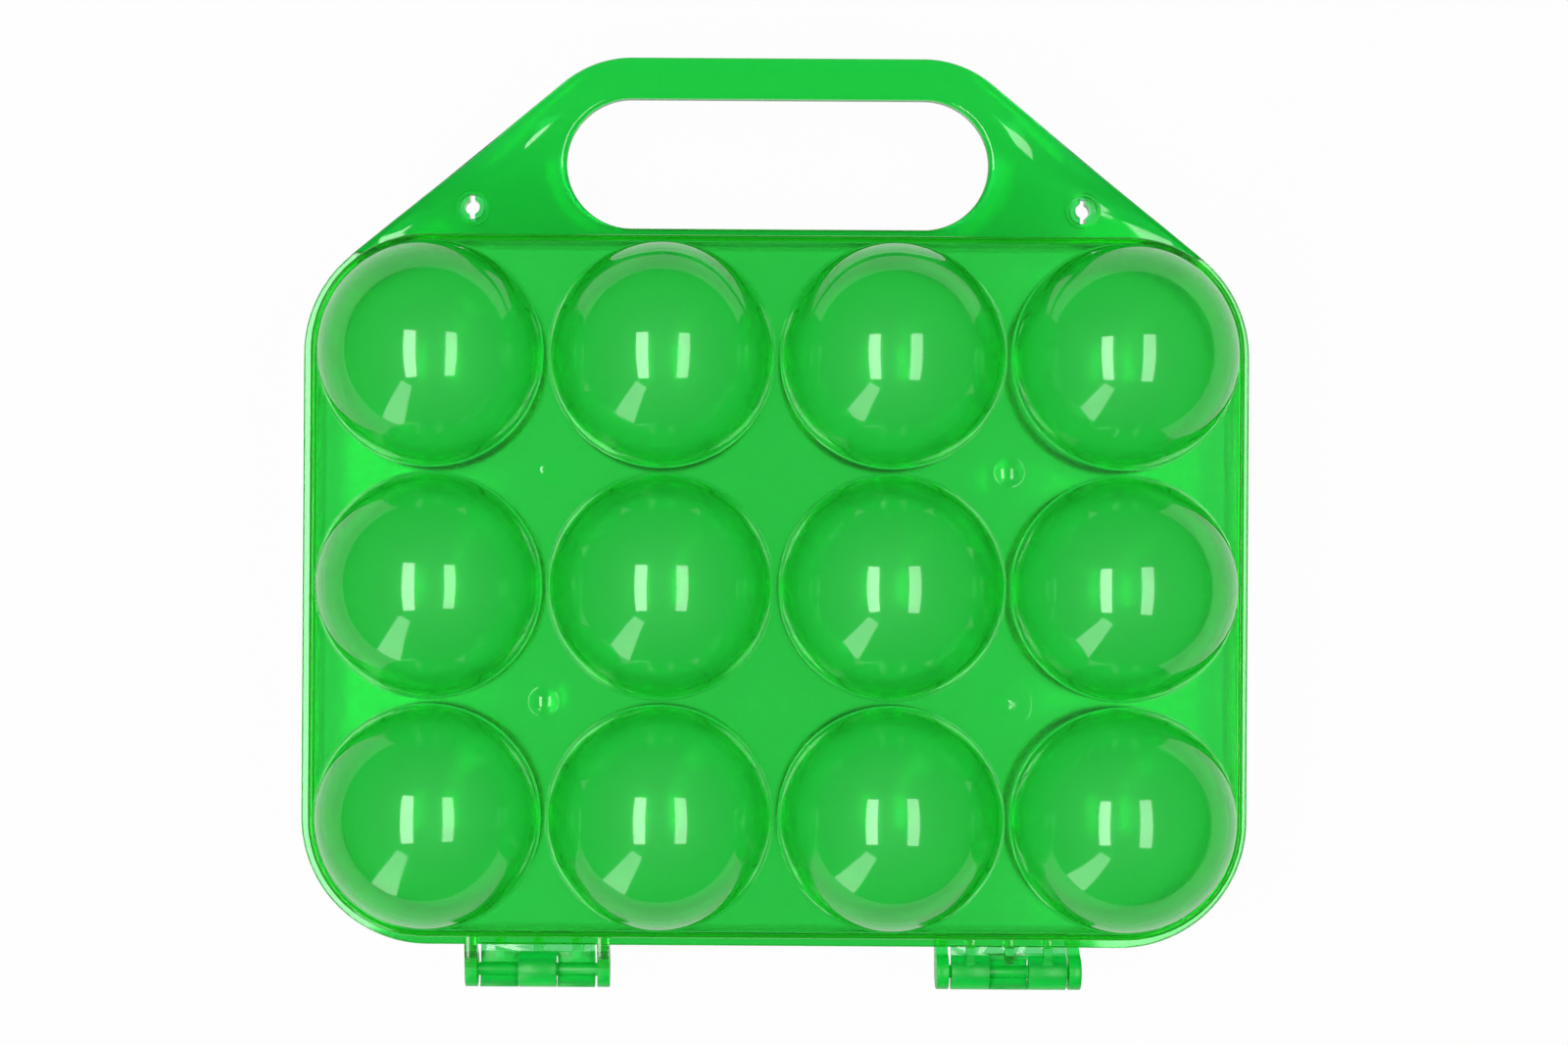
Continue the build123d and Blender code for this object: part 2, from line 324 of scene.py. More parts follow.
def rim_section():
    """(outwards, up, tilt) from the deck's edge over the wall and the flange, and up inside
    to the deck's underside."""
    r = RIM_ROUND
    section = arc((-r, DECK - r), r, pi / 2, 0, steps=6)
    r = FLANGE_FILLET
    section += arc((r, FLANGE_THICKNESS + r), r, pi, 1.5 * pi, steps=4, hollow=True)
    r = FLANGE_TOP_ROUND
    section += arc((FLANGE_WIDTH - r, FLANGE_THICKNESS - r), r, pi / 2, 0, steps=4)
    r = FLANGE_LOW_ROUND
    section += arc((FLANGE_WIDTH - r, FLANGE_GAP + r), r, 0, -pi / 2, steps=2)
    r = RIM_FOOT_ROUND
    section += arc((r - RIM_WALL, FLANGE_GAP + r), r, -pi / 2, -pi, steps=3)
    r = RIM_INNER_ROUND
    middle = (-RIM_WALL - r, DECK - DECK_THICKNESS - r)
    section += arc(middle, r, 0, pi / 2, steps=4, hollow=True)
    return section


def rim_loop(growth, w, tilt):
    """The rim wall's outer outline grown by a distance, facing outwards by cos(tilt).
    Where the handle takes over from the flange, nothing stands out from the wall."""
    mid = (RIM_X - RIM_CORNER, RIM_Y - RIM_CORNER)
    points, facing = [], []

    def add(x, y, a):
        shown = 1 - smooth((y - HANDLE_START) / HANDLE_FADE)
        out = growth if growth < 0 else growth * shown
        points.append((x + out * cos(a), y + out * sin(a), w))
        facing.append((cos(tilt) * cos(a), cos(tilt) * sin(a), sin(tilt)))

    for quarter, (side_x, side_y) in enumerate(((1, 1), (-1, 1), (-1, -1), (1, -1))):
        for i in range(CORNER_STEPS + 1):
            a = pi / 2 * (quarter + i / CORNER_STEPS)
            x = side_x * mid[0] + RIM_CORNER * cos(a)
            y = side_y * mid[1] + RIM_CORNER * sin(a)
            add(x, y, a)
        span = 2 * mid[quarter % 2]
        for i in range(1, SIDE_STEPS):
            gone = span * i / SIDE_STEPS
            add(x - sin(a) * gone, y + cos(a) * gone, a)
    return points, facing


def bowed(point, facing):
    """The way the deck faces at a point: it bows a little towards the two side walls. What
    faces sideways already is left as it is."""
    past = max(abs(point[0]) - BOW_START, 0) / (RIM_X - BOW_START)
    lean = BOW_LEAN * past * (2 - past) * (-1 if point[0] > 0 else 1)
    x, y, w = facing
    lean *= abs(w) ** BOW_FALLOFF
    return x * cos(lean) + w * sin(lean), y, w * cos(lean) - x * sin(lean)


def tray(half):
    """Deck, cups, rim wall and flange of one half, as one closed skin."""
    skin = Skin()
    outer_holes, inner_holes = [], []
    for row in range(ROWS):
        for column in range(COLUMNS):
            middle = ((column - (COLUMNS - 1) / 2) * PITCH, (row - (ROWS - 1) / 2) * PITCH)
            outer_holes.append((cup_outside(skin, middle), middle))
            inner_holes.append((cup_inside(skin, middle), middle))
    for side in (1, -1):
        middle = (side * PITCH, side * PITCH / 2)
        outer_holes.append((pip(skin, middle), middle))
        middle = (-side * PITCH, side * PITCH / 2)
        outer_holes.append((gate_mark(skin, middle), middle))
    rings = []
    for growth, w, tilt in rim_section():
        skin.inside = float(growth < 0 and w < DECK - MATT_DEPTH)
        rings.append(skin.ring(*rim_loop(growth, w, tilt)))
    skin.loft([ring[::-1] for ring in rings])
    skin.sheet(rings[0], outer_holes, True)
    skin.sheet(rings[-1], inner_holes, False)
    for edge, holes in ((rings[0], outer_holes), (rings[-1], inner_holes)):
        for ring in [edge] + [hole for hole, _ in holes]:
            for n in ring:
                skin.facing[n] = bowed(skin.points[n], skin.facing[n])
    return skin.build(f"{half}_tray", half)


# ------------------------------------------------------------------ handle
FOOT_R = RIM_CORNER + FLANGE_WIDTH
CORNER_X, CORNER_Y = RIM_X - RIM_CORNER, RIM_Y - RIM_CORNER
FOOT_X = CORNER_X + FOOT_R * sin(HANDLE_SLOPE)
FOOT_Y = CORNER_Y + FOOT_R * cos(HANDLE_SLOPE)
OPENING_R = (HANDLE_DEPTH - GRIP_WIDTH) / 2
OPENING_Y = FLANGE_Y + OPENING_R


def inside_slope(x, y):
    """Distance of a point from the shoulder's line."""
    return (FOOT_X - x) * sin(HANDLE_SLOPE) - (y - FOOT_Y) * cos(HANDLE_SLOPE)


def on_slope(y, inset):
    """x where the shoulder's line, set in by a distance, reaches y."""
    return FOOT_X - (inset + (y - FOOT_Y) * cos(HANDLE_SLOPE)) / sin(HANDLE_SLOPE)


BEND_Y = HANDLE_TOP - HANDLE_CORNER
BEND_X = on_slope(BEND_Y, HANDLE_CORNER)
OPENING_X = on_slope(OPENING_Y, OPENING_R + GRIP_WIDTH)
SNAP = (FOOT_X - SNAP_SETBACK, FLANGE_Y + SNAP_OFFSET)


def from_outside(x, y):
    """Distance of a point of the handle from its free outer edge."""
    x = abs(x)
    away = atan2(y - BEND_Y, x - BEND_X)
    if x > BEND_X and pi / 2 - HANDLE_SLOPE < away < pi / 2:
        return HANDLE_CORNER - hypot(x - BEND_X, y - BEND_Y)
    return min(HANDLE_TOP - y, inside_slope(x, y))


def from_opening(x, y):
    """Distance of a point of the handle from the edge of its opening."""
    return hypot(max(abs(x) - OPENING_X, 0), y - OPENING_Y) - OPENING_R


def along_foot(x, y):
    """How far a point lies up the shoulder from its foot."""
    return (FOOT_X - abs(x)) * cos(HANDLE_SLOPE) + (y - FOOT_Y) * sin(HANDLE_SLOPE)


def edge_drop(distance, reach):
    """How far the handle's face has come down at a distance from a free edge."""
    crown = max(reach - distance, 0) ** 2 / (2 * CROWN_RADIUS)
    return crown + EDGE_ROUND - sqrt(EDGE_ROUND**2 - max(EDGE_ROUND - distance, 0) ** 2)


def handle_face(x, y):
    """Height of the handle's face: level at the shoulders, a little higher at the grip and
    towards the feet, and crowned along its edges."""
    level = SHOULDER_LEVEL - DIP * smooth((y - DIP_START) / DIP_WAY)
    level += (GRIP_LEVEL - SHOULDER_LEVEL) * smooth((y - GRIP_START) / GRIP_WAY)
    level += WING_SLOPE * max(abs(x) - WING_X, 0) * (1 - smooth((y - WING_END) / WING_WAY))
    reach = CROWN + CROWN_MORE * smooth((y - CROWN_START) / CROWN_WAY)
    height = level - edge_drop(from_outside(x, y), reach)
    height -= edge_drop(from_opening(x, y), OPENING_CROWN)
    share = smooth(along_foot(x, y) / TAPER)
    return share * height + (1 - share) * min(height, FLANGE_THICKNESS - FLUSH)


def handle_height(x, y, inset):
    """Height of the handle's face, or of the shallow hollow under it when inset is the
    width of the skirt round the hollow."""
    if min(from_outside(x, y), from_opening(x, y)) < inset + ON_EDGE:
        return FLANGE_GAP
    height = handle_face(x, y)
    if not inset:
        return max(height, 2 * FLANGE_GAP)
    wall = SHOULDER_WALL + (GRIP_WALL - SHOULDER_WALL) * smooth((y - GRIP_START) / GRIP_WAY)
    spare = (height - wall - FLANGE_GAP) / HOLLOW_SOFTNESS
    return max(HOLLOW_SOFTNESS * log1p(exp(spare)), 0) + FLANGE_GAP


def handle_rays(inset):
    """Pairs of points, on the opening's edge and on the outer edge, for the right half
    from the bottom's middle round to the top's middle."""
    near, far = [], []
    radius = OPENING_R + inset
    buried = RIM_Y - BURIED
    for x in steps_between(0, OPENING_X, UNDER_RAYS):
        near.append((x, OPENING_Y - radius))
        far.append((x, buried))
    wall = buried - CORNER_Y
    reach = FOOT_R - inset
    turn = HANDLE_CORNER - inset
    foot = pi / 2 - HANDLE_SLOPE

    def round_corner(r, a):
        return CORNER_X + r * cos(a), CORNER_Y + r * sin(a)

    def round_bend(a):
        return BEND_X + turn * cos(a), BEND_Y + turn * sin(a)

    path = [(x, buried) for x in steps_between(OPENING_X, CORNER_X, RIM_RAYS)]
    path += [round_corner(wall, a) for a in steps_between(pi / 2, foot, RIM_CORNER_RAYS)]
    path += [round_corner(r, foot) for r in steps_between(wall, reach, FOOT_RAYS)]
    low, high = round_corner(reach, foot), round_bend(foot)
    xs = steps_between(low[0], high[0], SHOULDER_RAYS)
    ys = steps_between(low[1], high[1], SHOULDER_RAYS)
    path += list(zip(xs, ys))
    path += [round_bend(a) for a in steps_between(foot, pi / 2, BEND_RAYS)]
    turns = steps_between(-pi / 2, FOOT_TURN, RIM_RAYS + RIM_CORNER_RAYS)
    turns += steps_between(FOOT_TURN, SHOULDER_TURN, FOOT_RAYS)
    turns += steps_between(SHOULDER_TURN, foot, SHOULDER_RAYS)
    turns += steps_between(foot, pi / 2, BEND_RAYS)
    for a, point in zip(turns, path):
        near.append((OPENING_X + radius * cos(a), OPENING_Y + radius * sin(a)))
        far.append(point)
    for i in range(GRIP_RAYS + 1):
        near.append((OPENING_X * (1 - i / GRIP_RAYS), OPENING_Y + radius))
        far.append((BEND_X * (1 - i / GRIP_RAYS), HANDLE_TOP - inset))
    return list(zip(near, far))


def along(length):
    """Places along a ray, crowded at its two ends."""
    squeeze = min(1, EDGE_SHARE * length / EDGE_STEPS[-1])
    start = [s * squeeze for s in EDGE_STEPS]
    gap = length - 2 * start[-1]
    middle = [start[-1] + gap * i / RAY_STEPS for i in range(1, RAY_STEPS)]
    return start + middle + [length - s for s in reversed(start)]


def handle_shell(half):
    """The carry handle of one half, closed, its root inside the rim wall: a crowned face
    over a shallow hollow."""
    skin = Skin()
    shells = []
    for inset in (0, SKIRT):
        rays = handle_rays(inset)
        rays += [((-a[0], a[1]), (-b[0], b[1])) for a, b in reversed(rays[1:-1])]
        columns = []
        for near, far in rays:
            length = hypot(far[0] - near[0], far[1] - near[1])
            column = []
            for s in along(length):
                x = near[0] + (far[0] - near[0]) * s / length
                y = near[1] + (far[1] - near[1]) * s / length
                column.append((x, y, handle_height(x, y, inset)))
            columns.append(column)
        shells.append([skin.ring(row) for row in zip(*columns)])
    outer, inner = shells
    skin.loft([ring[::-1] for ring in outer])
    skin.loft(inner)
    skin.loft([inner[0][::-1], outer[0][::-1]])
    skin.loft([outer[-1][::-1], inner[-1][::-1]])
    return skin.build(f"{half}_handle_shell", half, exact=False)


# ------------------------------------------------------------------ solids cut and joined
def between(name, half, start, end):
    """A closed solid between two matching outlines, anticlockwise seen from the end."""
    skin = Skin()
    low, high = skin.ring(start), skin.ring(end)
    skin.faces = [tuple(low[::-1]), tuple(high)]
    skin.loft([low, high])
    return skin.build(name, half, exact=False)


def round_outline(middle, radius, count):
    """Points of a circle."""
    around = steps_between(0, 2 * pi, count)
    return [(middle[0] + radius * cos(a), middle[1] + radius * sin(a)) for a in around]


def column(name, half, middle, radius, low, high):
    """An upright round solid."""
    outline = round_outline(middle, radius, SNAP_STEPS)
    start, end = ([(x, y, w) for x, y in outline] for w in (low, high))
    return between(name, half, start, end)


def prism(name, half, profile, left, right):
    """A side view (distance from the hinge axis, height), drawn anticlockwise seen from
    the right, carried along the hinge axis."""
    start, end = ([(x, HINGE_Y + s, w) for s, w in profile] for x in (left, right))
    return between(name, half, start, end)


def settle(obj):
    """Replaces obj's mesh by what its modifiers make of it."""
    bpy.context.view_layer.update()
    made = obj.evaluated_get(bpy.context.evaluated_depsgraph_get())
    mesh = bpy.data.meshes.new_from_object(made)
    obj.modifiers.clear()
    obj.data = mesh


def combine(obj, others, operation):
    """obj with the others cut out of it or joined to it; the others are used up."""
    for other in others:
        change = obj.modifiers.new("change", "BOOLEAN")
        change.operation = operation
        change.solver = "EXACT"
        change.object = other
    settle(obj)
    for other in others:
        mesh = other.data
        bpy.data.objects.remove(other)
        bpy.data.meshes.remove(mesh)
    return obj


def soften(obj, width=0.0, angle=SHARP_ANGLE):
    """Rounds obj's edges by a width and shades the rest smooth."""
    if width:
        bevel = obj.modifiers.new("bevel", "BEVEL")
        bevel.width = width * MM
        bevel.segments = ROUND_SEGMENTS
        bevel.limit_method = "ANGLE"
        bevel.angle_limit = radians(angle)
        bevel.use_clamp_overlap = True
        settle(obj)
    obj.data.shade_smooth()
    obj.data.set_sharp_from_angle(angle=radians(angle))
    return obj


def handle(half):
    """The handle's shell with room cut out for the snap's prongs and socket."""
    body = handle_shell(half)
    low, high = -CUT_MARGIN, GRIP_LEVEL + CUT_MARGIN
    cutters = [
        column("cut", half, (-SNAP[0], SNAP[1]), PRONG_R - SNAP_OVERLAP, low, high),
        column("cut", half, SNAP, SOCKET_R - SNAP_OVERLAP, low, high),
    ]
    return soften(combine(body, cutters, "DIFFERENCE"), angle=HANDLE_SHARP_ANGLE)


def hooks(half):
    """Plate, three hooks and three braces, in one piece as they are moulded."""
    low, high = FLANGE_GAP + FLUSH, FLANGE_THICKNESS - FLUSH
    inner = HINGE_OFFSET + SUNK
    plate = [(PLATE_END, low), (inner, low), (inner, high), (PLATE_END, high)]
    name = f"{half}_hinge_hook_set"
    body = prism(name, half, plate, HINGE_X - HOOKS_SPAN / 2, HINGE_X + HOOKS_SPAN / 2)
    foot, sunk_r = FLANGE_THICKNESS - BRACE_SUNK, HOOK_R - BRACE_TIP_SUNK
    brace = [
        (BRACE_END, foot),
        (HINGE_FACE, foot),
        (HINGE_FACE, BRACE_ROOT),
        (HOOK_R * cos(BRACE_REACH), HOOK_R * sin(BRACE_REACH)),
        (sunk_r * cos(BRACE_REACH), sunk_r * sin(BRACE_REACH)),
    ]
    added = []
    root = degrees(asin(FLANGE_THICKNESS / HOOK_R))
    ways = ((-1, 0, HOOK_WRAP), (0, root, -HOOK_WRAP - root), (1, 0, HOOK_WRAP))
    for step, start, sweep in ways:
        turns = [radians(start + sweep * i / HOOK_STEPS) for i in range(HOOK_STEPS + 1)]
        if start == 0:
            turns[0] = HOOK_START
        hook = [(HOOK_R * cos(a), HOOK_R * sin(a)) for a in turns]
        hook += [(BORE_R * cos(a), BORE_R * sin(a)) for a in reversed(turns)]
        if sweep < 0:
            hook.reverse()
        middle = HINGE_X + step * (HOOK_LENGTH + HOOK_GAP)
        for outline, length in ((hook, HOOK_LENGTH), (brace, BRACE_THICKNESS)):
            added.append(prism("add", half, outline, middle - length / 2, middle + length / 2))
    return soften(combine(body, added, "UNION"), HOOK_ROUND)


def ears(half):
    """Two ears with the rod between them."""
    gap = HOOKS_SPAN + 2 * EAR_CLEARANCE
    foot = FLANGE_THICKNESS - EAR_SUNK
    turns = [radians(90 + EAR_TURN * i) for i in range(1, EAR_STEPS + 1)]
    ear = [(0, EAR_R)]
    ear += [(EAR_R * cos(a), EAR_R * sin(a)) for a in turns]
    ear += [(HINGE_OFFSET + EAR_FOOT, foot), (HINGE_FACE, foot), (HINGE_FACE, EAR_ROOT)]
    left, right = -HINGE_X - gap / 2, -HINGE_X + gap / 2
    rod = round_outline((0, 0), ROD_R, ROD_STEPS)
    body = prism(f"{half}_hinge_ear_pair", half, ear, left - EAR_THICKNESS, left)
    added = [
        prism("add", half, ear, right, right + EAR_THICKNESS),
        prism("add", half, rod, left - ROD_OVERLAP, right + ROD_OVERLAP),
    ]
    return soften(combine(body, added, "UNION"), EAR_ROUND)


# ------------------------------------------------------------------ pieces
CUP_NAMES = [f"cup_row{r + 1}_{c + 1}" for r in range(ROWS) for c in range(COLUMNS)]
HALF_PIECES = (
    (tray, ["rim", "deck"] + CUP_NAMES),
    (handle, ["handle"]),
    (hooks, ["hinge_plate", "hinge_hooks", "hinge_braces"]),
    (ears, ["hinge_ears", "hinge_rod"]),
)
pieces = []
for half in ("lid", "base"):
    for make, stands_for in HALF_PIECES:
        piece = make(half)
        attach(piece, half)
        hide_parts(*[f"{half}_{node}" for node in stands_for])
        pieces.append(piece)

# ------------------------------------------------------------------ plastic
PLASTIC_IOR, CLEARNESS, DULL_SPECULAR = 1.49, 0.985, 0.2
DEPTH_COLOUR, DEPTH_DENSITY = (0.05, 0.975, 0.45, 1), 400  # density per metre
WALL_TINT, TIP_TINT, TIP_SPAN = (0.28, 0.97, 0.40), (0.36, 0.97, 0.44), (27 * MM, 35 * MM)
SHOULDER_TINT, GRIP_TINT = (0.126, 0.86, 0.323), (0.19, 0.925, 0.37)
GRIP_SPAN = (GRID_Y + 90 * MM, GRID_Y + 110 * MM)
HINGE_TINT, HINGE_SPAN = (0.012, 0.90, 0.12), (HOOK_R * MM, (HOOK_R + 0.3) * MM)
HINGE_CLEARNESS, HINGE_ROUGHNESS = (0.6, 0.96), (0.32, 0.10)  # at the axis and away from it
INSIDE_ROUGHNESS = 0.2
UNDER_ROUGHNESS, UNDER_SPAN = 0.14, (1.2 * MM, 1.35 * MM)
HAZE_SCALE, HAZE_DETAIL, HAZE_SPAN, HAZE_ROUGHNESS = 38, 5, (0.35, 0.7), (0.03, 0.075)
WAVE_SEED, WAVE_SCALE, WAVE_DETAIL, WAVE_STRENGTH, WAVE_HEIGHT = 3, 90, 2, 0.25, 0.1 * MM
SCRATCH_SCALE, SCRATCH_WIDTH, SCRATCH_ROUGHNESS = 45, (0.002, 0.007), 0.14
RUBBED_SPAN = (0.54, 0.62)


def node(tree, kind, inputs=None, **settings):
    """A new node. Each of its inputs is given a number, a colour or another node's output."""
    made = tree.nodes.new(kind)
    for name, value in settings.items():
        setattr(made, name, value)
    for name, value in (inputs or {}).items():
        if isinstance(value, bpy.types.NodeSocket):
            tree.links.new(value, made.inputs[name])
        else:
            made.inputs[name].default_value = value
    return made


def maths(tree, operation, *values):
    """The result of a Math node."""
    return node(tree, "ShaderNodeMath", dict(enumerate(values)), operation=operation).outputs[0]


def remap(tree, value, span, ends, **settings):
    """A value taken from one span to another and held at its ends."""
    inputs = {"Value": value, "From Min": span[0], "From Max": span[1]}
    inputs.update({"To Min": ends[0], "To Max": ends[1]})
    return node(tree, "ShaderNodeMapRange", inputs, **settings).outputs["Result"]


def tinted(tree, value, span, near, far):
    """A colour that goes from near to far while a value crosses a span."""
    low, high = ((end,) * 3 for end in span)
    inputs = {6: value, 7: low, 8: high, 9: near, 10: far}  # the sockets for vectors
    made = node(tree, "ShaderNodeMapRange", inputs, data_type="FLOAT_VECTOR")
    return made.outputs["Vector"]


def from_parting(tree, where):
    """Distance from the parting plane."""
    z = node(tree, "ShaderNodeSeparateXYZ", {0: where}).outputs["Z"]
    return maths(tree, "ABSOLUTE", maths(tree, "SUBTRACT", z, PARTING_Z))


def tray_finish(tree, where, worn):
    """The cups are thinner and paler at their tips."""
    height = from_parting(tree, where)
    return {"Base Color": tinted(tree, height, TIP_SPAN, WALL_TINT, TIP_TINT)}


def handle_finish(tree, where, worn):
    """The handles' faces that lie on each other are dull, and the grip is a paler green
    than the shoulders."""
    y = node(tree, "ShaderNodeSeparateXYZ", {0: where}).outputs["Y"]
    under = remap(tree, from_parting(tree, where), UNDER_SPAN, (UNDER_ROUGHNESS, 0.0))
    return {
        "Base Color": tinted(tree, y, GRIP_SPAN, SHOULDER_TINT, GRIP_TINT),
        "Roughness": maths(tree, "MAXIMUM", worn, under),
        "Specular IOR Level": DULL_SPECULAR,
    }


def hinge_finish(tree, where, worn):
    """Round the hinge's axis the mould was left rough: there the plastic is matt and dense."""
    axis = place((0, HINGE_Y, 0), "lid")
    off = node(tree, "ShaderNodeVectorMath", {0: where, 1: axis}, operation="SUBTRACT")
    across = {0: off.outputs[0], 1: (0, 1, 1)}
    flat = node(tree, "ShaderNodeVectorMath", across, operation="MULTIPLY")
    span = node(tree, "ShaderNodeVectorMath", {0: flat.outputs[0]}, operation="LENGTH")
    away = span.outputs["Value"]
    return {
        "Base Color": tinted(tree, away, HINGE_SPAN, HINGE_TINT, WALL_TINT),
        "Transmission Weight": remap(tree, away, HINGE_SPAN, HINGE_CLEARNESS),
        "Roughness": remap(tree, away, HINGE_SPAN, HINGE_ROUGHNESS),
        "Specular IOR Level": DULL_SPECULAR,
    }


def noise(tree, where, seed, scale, detail):
    """Smooth noise from 0 to 1 that differs from seed to seed."""
    inputs = {"Vector": where, "W": seed, "Scale": scale, "Detail": detail}
    return node(tree, "ShaderNodeTexNoise", inputs, noise_dimensions="4D").outputs["Fac"]


def clear_plastic(name, seed, finish):
    """Tinted clear plastic: the colour is all in its depth, and its skin has the mould's
    faint waviness, a fine haze that comes and goes, matt inner faces, and hairline
    scratches from use. The finish gives what one kind of piece has of its own."""
    material = bpy.data.materials.new(name)
    material.use_nodes = True
    tree = material.node_tree
    tree.nodes.clear()
    where = node(tree, "ShaderNodeTexCoord").outputs["Object"]
    clouds = noise(tree, where, seed, HAZE_SCALE, HAZE_DETAIL)
    haze = remap(tree, clouds, HAZE_SPAN, HAZE_ROUGHNESS)
    matt = node(tree, "ShaderNodeAttribute", attribute_name="matt").outputs["Fac"]
    inside = maths(tree, "MULTIPLY", matt, INSIDE_ROUGHNESS)
    waves = noise(tree, where, seed + WAVE_SEED, WAVE_SCALE, WAVE_DETAIL)
    inputs = {"Scale": SCRATCH_SCALE + seed, "Vector": where}
    cells = node(tree, "ShaderNodeTexVoronoi", inputs, feature="DISTANCE_TO_EDGE")
    line = remap(tree, cells.outputs["Distance"], SCRATCH_WIDTH, (SCRATCH_ROUGHNESS, 0.0))
    scratch = maths(tree, "MULTIPLY", line, remap(tree, waves, RUBBED_SPAN, (0.0, 1.0)))
    worn = maths(tree, "MAXIMUM", maths(tree, "MAXIMUM", haze, inside), scratch)
    inputs = {"Strength": WAVE_STRENGTH, "Distance": WAVE_HEIGHT, "Height": waves}
    bump = node(tree, "ShaderNodeBump", inputs)
    inputs = {
        "Roughness": worn,
        "Transmission Weight": CLEARNESS,
        "IOR": PLASTIC_IOR,
        "Normal": bump.outputs["Normal"],
    }
    inputs.update(finish(tree, where, worn))
    surface = node(tree, "ShaderNodeBsdfPrincipled", inputs)
    inputs = {"Color": DEPTH_COLOUR, "Density": DEPTH_DENSITY}
    depth = node(tree, "ShaderNodeVolumeAbsorption", inputs)
    ends = {"Surface": surface.outputs["BSDF"], "Volume": depth.outputs["Volume"]}
    node(tree, "ShaderNodeOutputMaterial", ends)
    return material


FINISHES = (  # part of the names of its pieces, the material's name, finish, seeds
    ("handle", "handle_plastic", handle_finish, {"lid": 11.0, "base": 13.0}),
    ("", "green_plastic", tray_finish, {"lid": 1.0, "base": 7.0}),
    ("hinge", "hinge_plastic", hinge_finish, {"lid": 3.0, "base": 5.0}),
)
plastics = {
    part: {half: clear_plastic(f"{name}_{half}", seed, finish) for half, seed in seeds.items()}
    for part, name, finish, seeds in FINISHES
}
for obj in pieces + [obj for obj in frame["nodes"].values() if not obj.hide_render]:
    kind = next(part for part in ("handle", "hinge", "") if part in obj.name)
    obj.data.materials.clear()
    obj.data.materials.append(plastics[kind][obj["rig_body"]])

# ------------------------------------------------------------------ table and room
BOUNCES = 40
TABLE_SIZE, TABLE_COLOUR = 4.0, (0.85, 0.85, 0.85, 1)
TABLE_SHARE = 0.97  # how much of the table is plain white where it is seen
SHADE_SPAN, SHADE_ENDS = (-0.01, 0.03), (0.6, 0.8)  # metres past the rim, and brightness
ROOM_LOW, ROOM_HIGH = (0.06, 0.06, 0.06, 1), (0.13, 0.13, 0.13, 1)

scene = bpy.context.scene
scene.view_settings.view_transform = "Standard"
scene.cycles.max_bounces = BOUNCES
scene.cycles.transmission_bounces = BOUNCES
scene.cycles.glossy_bounces = BOUNCES


def white_table():
    """White to the eye and behind glass, and matt where the lamps light it. Seen through
    the plastic it is a little darker under the keeper, as in the keeper's shadow."""
    material = bpy.data.materials.new("white_table")
    material.use_nodes = True
    tree = material.node_tree
    tree.nodes.clear()
    ray = node(tree, "ShaderNodeLightPath").outputs
    seen = maths(tree, "MAXIMUM", ray["Is Camera Ray"], ray["Is Glossy Ray"])
    seen = maths(tree, "MAXIMUM", seen, ray["Is Transmission Ray"])
    where = node(tree, "ShaderNodeTexCoord").outputs["Object"]
    split = node(tree, "ShaderNodeSeparateXYZ", {0: where}).outputs
    away = {}
    for axis, middle, reach in (("X", 0.0, RIM_X * MM), ("Y", GRID_Y, RIM_Y * MM)):
        off = maths(tree, "ABSOLUTE", maths(tree, "SUBTRACT", split[axis], middle))
        away[axis] = maths(tree, "MAXIMUM", maths(tree, "SUBTRACT", off, reach), 0.0)
    past = node(tree, "ShaderNodeCombineXYZ", away).outputs[0]
    span = node(tree, "ShaderNodeVectorMath", {0: past}, operation="LENGTH").outputs["Value"]
    shade = remap(tree, span, SHADE_SPAN, SHADE_ENDS, interpolation_type="SMOOTHSTEP")
    bright = maths(tree, "MAXIMUM", shade, ray["Is Camera Ray"])
    matte = node(tree, "ShaderNodeBsdfDiffuse", {"Color": TABLE_COLOUR})
    glow = node(tree, "ShaderNodeEmission", {"Strength": bright})
    share = maths(tree, "MULTIPLY", seen, TABLE_SHARE)
    both = {0: share, 1: matte.outputs[0], 2: glow.outputs[0]}
    mixed = node(tree, "ShaderNodeMixShader", both)
    node(tree, "ShaderNodeOutputMaterial", {"Surface": mixed.outputs[0]})
    return material


mesh = bpy.data.meshes.new("floor")
corners = [(x * TABLE_SIZE, y * TABLE_SIZE, 0.0) for x, y in ((-1, -1), (1, -1), (1, 1), (-1, 1))]
mesh.from_pydata(corners, [], [(0, 1, 2, 3)])
mesh.materials.append(white_table())
floor = bpy.data.objects.new("floor", mesh)
scene.collection.objects.link(floor)

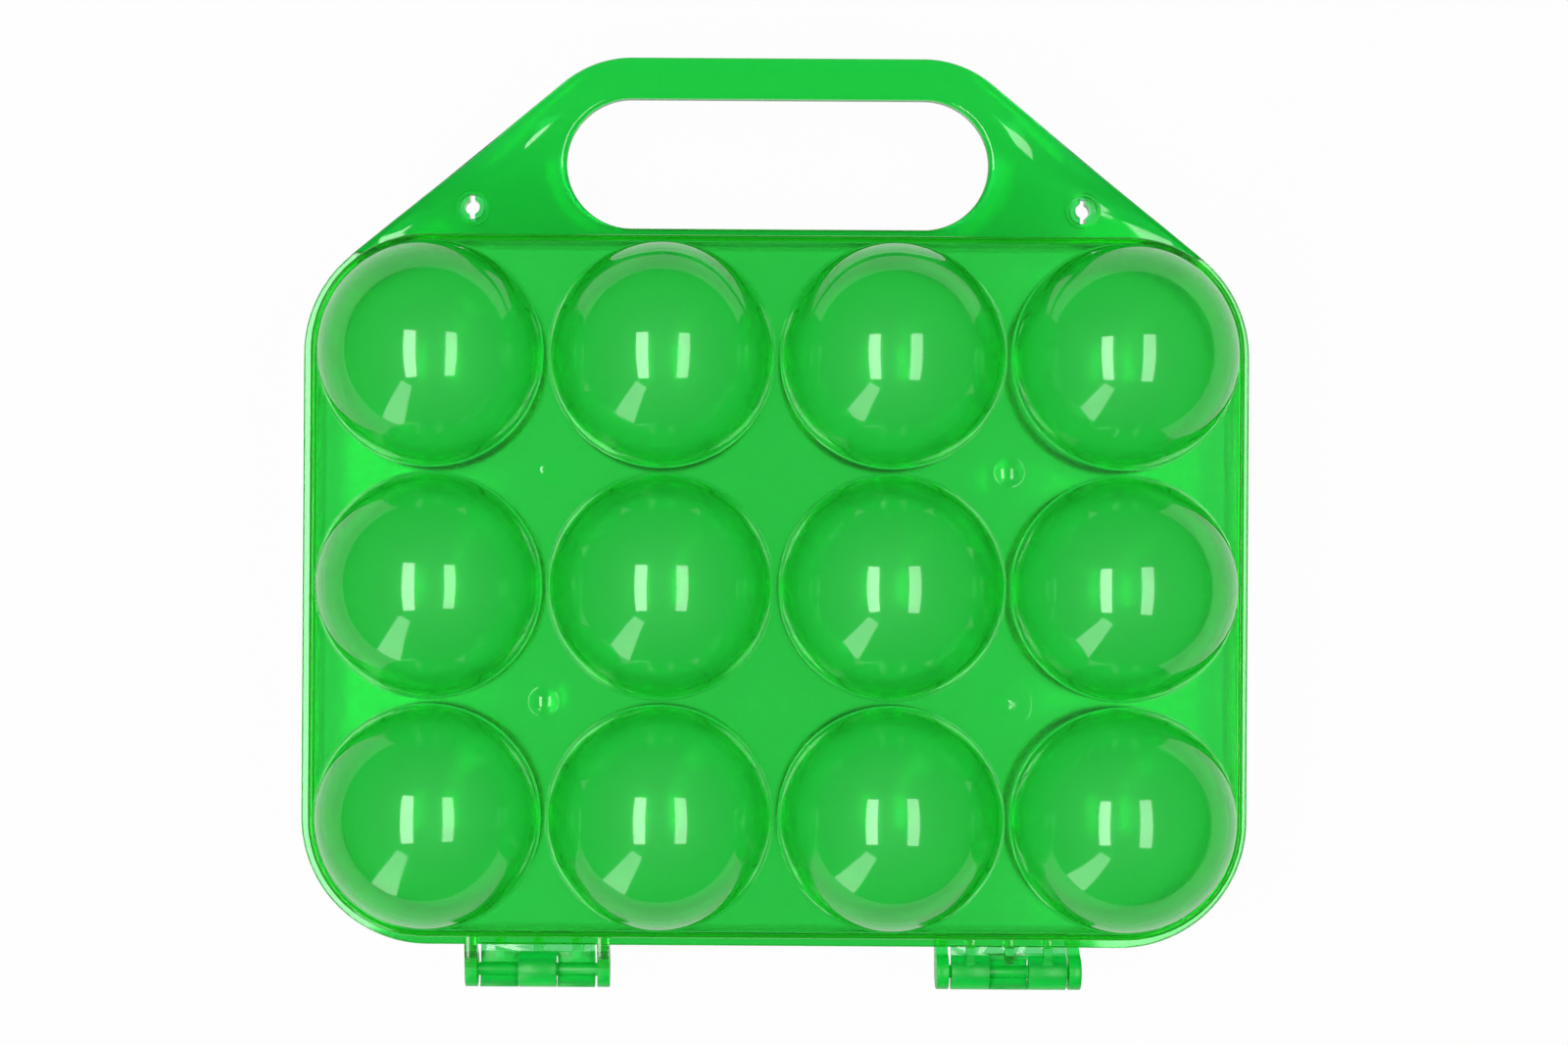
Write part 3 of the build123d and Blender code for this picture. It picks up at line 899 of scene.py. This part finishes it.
scene.world = bpy.data.worlds.new("studio")
scene.world.use_nodes = True
tree = scene.world.node_tree
tree.nodes.clear()
way = node(tree, "ShaderNodeTexCoord").outputs["Generated"]
up = node(tree, "ShaderNodeSeparateXYZ", {0: way}).outputs["Z"]
grade = node(tree, "ShaderNodeValToRGB", {"Fac": up})
for element, position, grey in zip(grade.color_ramp.elements, (0.0, 1.0), (ROOM_LOW, ROOM_HIGH)):
    element.position, element.color = position, grey
ray = node(tree, "ShaderNodeLightPath").outputs
sky = node(tree, "ShaderNodeBackground", {"Color": grade.outputs["Color"]})
backdrop = node(tree, "ShaderNodeBackground")
both = {0: ray["Is Camera Ray"], 1: sky.outputs[0], 2: backdrop.outputs[0]}
mixed = node(tree, "ShaderNodeMixShader", both)
node(tree, "ShaderNodeOutputWorld", {"Surface": mixed.outputs[0]})

# ------------------------------------------------------------------ lamps and camera
SOFT_BOXES = (  # name, place, aimed at, way its height lies, width, height, radiance
    ("strip_left", (-0.236, -0.048, 0.66), (-0.05, -0.048, 0.05), (0, 1, 0), 0.14, 0.545, 8.8),
    ("strip_right", (0.236, -0.048, 0.66), (0.05, -0.048, 0.05), (0, 1, 0), 0.14, 0.545, 6.4),
    ("side_box", (-0.556, -0.886, 0.665), (0, 0, 0.665), (0, 0, 1), 0.32, 1.21, 3.6),
)
IMAGE_WIDTH, FOCAL_PIXELS, SENSOR = 1600, 2720, 36
CAMERA_AT, CAMERA_TURN = (-0.0169, -0.0227, 0.6425), radians(0.35)
CAMERA_SHIFT = (0.0531, 0.0638)

for name, at, towards, along_way, width, height, radiance in SOFT_BOXES:
    lamp = bpy.data.lights.new(name, "AREA")
    lamp.shape = "RECTANGLE"
    lamp.size, lamp.size_y = width, height
    lamp.energy = radiance * pi * width * height
    box = bpy.data.objects.new(name, lamp)
    scene.collection.objects.link(box)
    back = (Vector(at) - Vector(towards)).normalized()
    across = Vector(along_way).cross(back).normalized()
    turned = Matrix((across, back.cross(across), back)).transposed()
    box.matrix_world = Matrix.Translation(at) @ turned.to_4x4()

camera_data = bpy.data.cameras.new("camera")
camera_data.sensor_width = SENSOR
camera_data.lens = SENSOR * FOCAL_PIXELS / IMAGE_WIDTH
camera_data.shift_x, camera_data.shift_y = CAMERA_SHIFT
camera = bpy.data.objects.new("camera", camera_data)
scene.collection.objects.link(camera)
camera.location = CAMERA_AT
camera.rotation_euler = (0, 0, CAMERA_TURN)
scene.camera = camera
